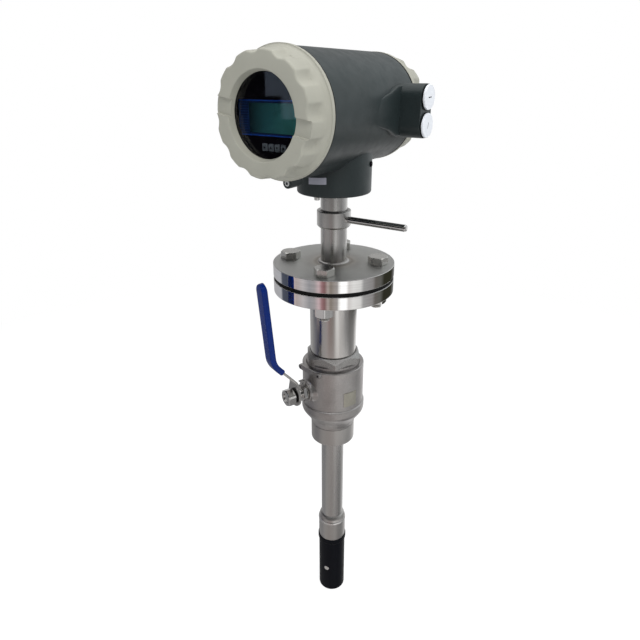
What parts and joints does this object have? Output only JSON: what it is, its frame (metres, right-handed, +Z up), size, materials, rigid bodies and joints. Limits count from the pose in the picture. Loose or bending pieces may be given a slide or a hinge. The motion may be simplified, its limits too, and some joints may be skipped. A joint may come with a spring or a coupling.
{
  "type": "electromagnetic flow meter",
  "caption": "Insertion flow meter: a display housing on a probe tube with a collar, a bolted flange pair, a lever ball valve and a polymer sensor tip.",
  "frame": {"origin": "centre of the lower ring face of the weld base, on the axis of the probe", "axes": "+Z up along the probe, the display faces -Y, the cable entries leave the housing along +X"},
  "size_m": [0.1705, 0.2382, 0.7942],
  "materials": {
    "housing_paint": "satin dark green-grey paint",
    "cover_paint": "satin warm grey paint",
    "turned_steel": "turned and polished stainless steel",
    "cast_steel": "blasted stainless casting",
    "flange_steel": "machined stainless steel",
    "fastener_steel": "plain stainless fasteners",
    "black_polymer": "matt black polymer",
    "black_rubber": "black rubber",
    "window_glass": "clear glass",
    "plug_plastic": "white plastic",
    "panel_plastic": "black panel",
    "frame_plastic": "blue film frame",
    "screen": "dark green display",
    "key_plastic": "pale grey keys",
    "circuit_board": "green laminate",
    "carrier_metal": "plain aluminium",
    "sticker": "white paper sticker",
    "ptfe": "white fluoropolymer",
    "winding": "enamelled copper wire",
    "grip_vinyl": "glossy blue dipped vinyl"
  },
  "bodies": {
    "meter": {"housing": "housing_paint", "cover_lock_screw": "fastener_steel", "neck_clamp_screw": "fastener_steel", "earth_screw": "fastener_steel", "tag_label": "sticker", "cable_plug_upper": "plug_plastic", "cable_plug_lower": "plug_plastic", "plug_seal_upper": "black_rubber", "plug_seal_lower": "black_rubber", "face_plate": "panel_plastic", "lcd_frame": "frame_plastic", "lcd_screen": "screen", "board_carrier": "carrier_metal", "display_board": "circuit_board", "main_board": "circuit_board", "terminal_block": "circuit_board", "probe_tube": "turned_steel", "sensor_head": "turned_steel", "sensor_tip": "black_polymer", "electrode_front": "turned_steel", "electrode_rear": "turned_steel", "excitation_coil": "winding", "positioning_collar": "turned_steel", "positioning_handle": "turned_steel", "upper_flange": "flange_steel", "flange_gasket": "black_rubber", "lower_flange": "flange_steel", "flange_bolt_1": "fastener_steel", "flange_bolt_2": "fastener_steel", "flange_bolt_3": "fastener_steel", "flange_bolt_4": "fastener_steel", "flange_nut_1": "fastener_steel", "flange_nut_2": "fastener_steel", "flange_nut_3": "fastener_steel", "flange_nut_4": "fastener_steel", "sleeve_tube": "turned_steel", "valve_end_cap": "cast_steel", "valve_body": "cast_steel", "upper_seat": "ptfe", "lower_seat": "ptfe", "stem_packing": "ptfe", "weld_base": "turned_steel"},
    "front_seal_ring": {"front_cover_seal": "black_rubber"},
    "front_cover_unit": {"front_cover": "cover_paint", "window_glass": "window_glass", "window_retainer": "black_polymer"},
    "rear_seal_ring": {"rear_cover_seal": "black_rubber"},
    "rear_cover_unit": {"rear_cover": "cover_paint"},
    "lever_unit": {"lever": "fastener_steel", "lever_grip": "grip_vinyl", "lever_nut": "fastener_steel", "spring_washer": "fastener_steel", "packing_nut": "fastener_steel", "nut_lock_tab": "fastener_steel", "valve_stem": "turned_steel", "valve_ball": "turned_steel"},
    "key_1_button": {"key_1": "key_plastic"},
    "key_2_button": {"key_2": "key_plastic"},
    "key_3_button": {"key_3": "key_plastic"},
    "key_4_button": {"key_4": "key_plastic"}
  },
  "joints": [
    {"name": "front_cover_travel", "type": "slide", "parent": "meter", "child": "front_seal_ring", "axis": [0, -1, 0], "range_m": [0, 0.012]},
    {"name": "front_cover_turn", "type": "hinge", "parent": "front_seal_ring", "child": "front_cover_unit", "pos_m": [0, -0.0928, 0.4347], "axis": [0, -1, 0], "range_deg": [0, 2160]},
    {"name": "rear_cover_travel", "type": "slide", "parent": "meter", "child": "rear_seal_ring", "axis": [0, 1, 0], "range_m": [0, 0.012]},
    {"name": "rear_cover_turn", "type": "hinge", "parent": "rear_seal_ring", "child": "rear_cover_unit", "pos_m": [0, 0.0796, 0.4347], "axis": [0, 1, 0], "range_deg": [0, 2160]},
    {"name": "valve_lever", "type": "hinge", "parent": "meter", "child": "lever_unit", "pos_m": [0, 0, 0.0865], "axis": [0.3584, 0.9336, 0], "range_deg": [0, 12]},
    {"name": "key_1_press", "type": "slide", "parent": "meter", "child": "key_1_button", "axis": [0, 1, 0], "range_m": [0, 0.0008], "stiffness_N_per_m": 400},
    {"name": "key_2_press", "type": "slide", "parent": "meter", "child": "key_2_button", "axis": [0, 1, 0], "range_m": [0, 0.0008], "stiffness_N_per_m": 400},
    {"name": "key_3_press", "type": "slide", "parent": "meter", "child": "key_3_button", "axis": [0, 1, 0], "range_m": [0, 0.0008], "stiffness_N_per_m": 400},
    {"name": "key_4_press", "type": "slide", "parent": "meter", "child": "key_4_button", "axis": [0, 1, 0], "range_m": [0, 0.0008], "stiffness_N_per_m": 400}
  ],
  "couplings": [
    {"joint": "front_cover_travel", "follows": "front_cover_turn", "m_per_rad": 0.0003183},
    {"joint": "rear_cover_travel", "follows": "rear_cover_turn", "m_per_rad": 0.0003183}
  ]
}
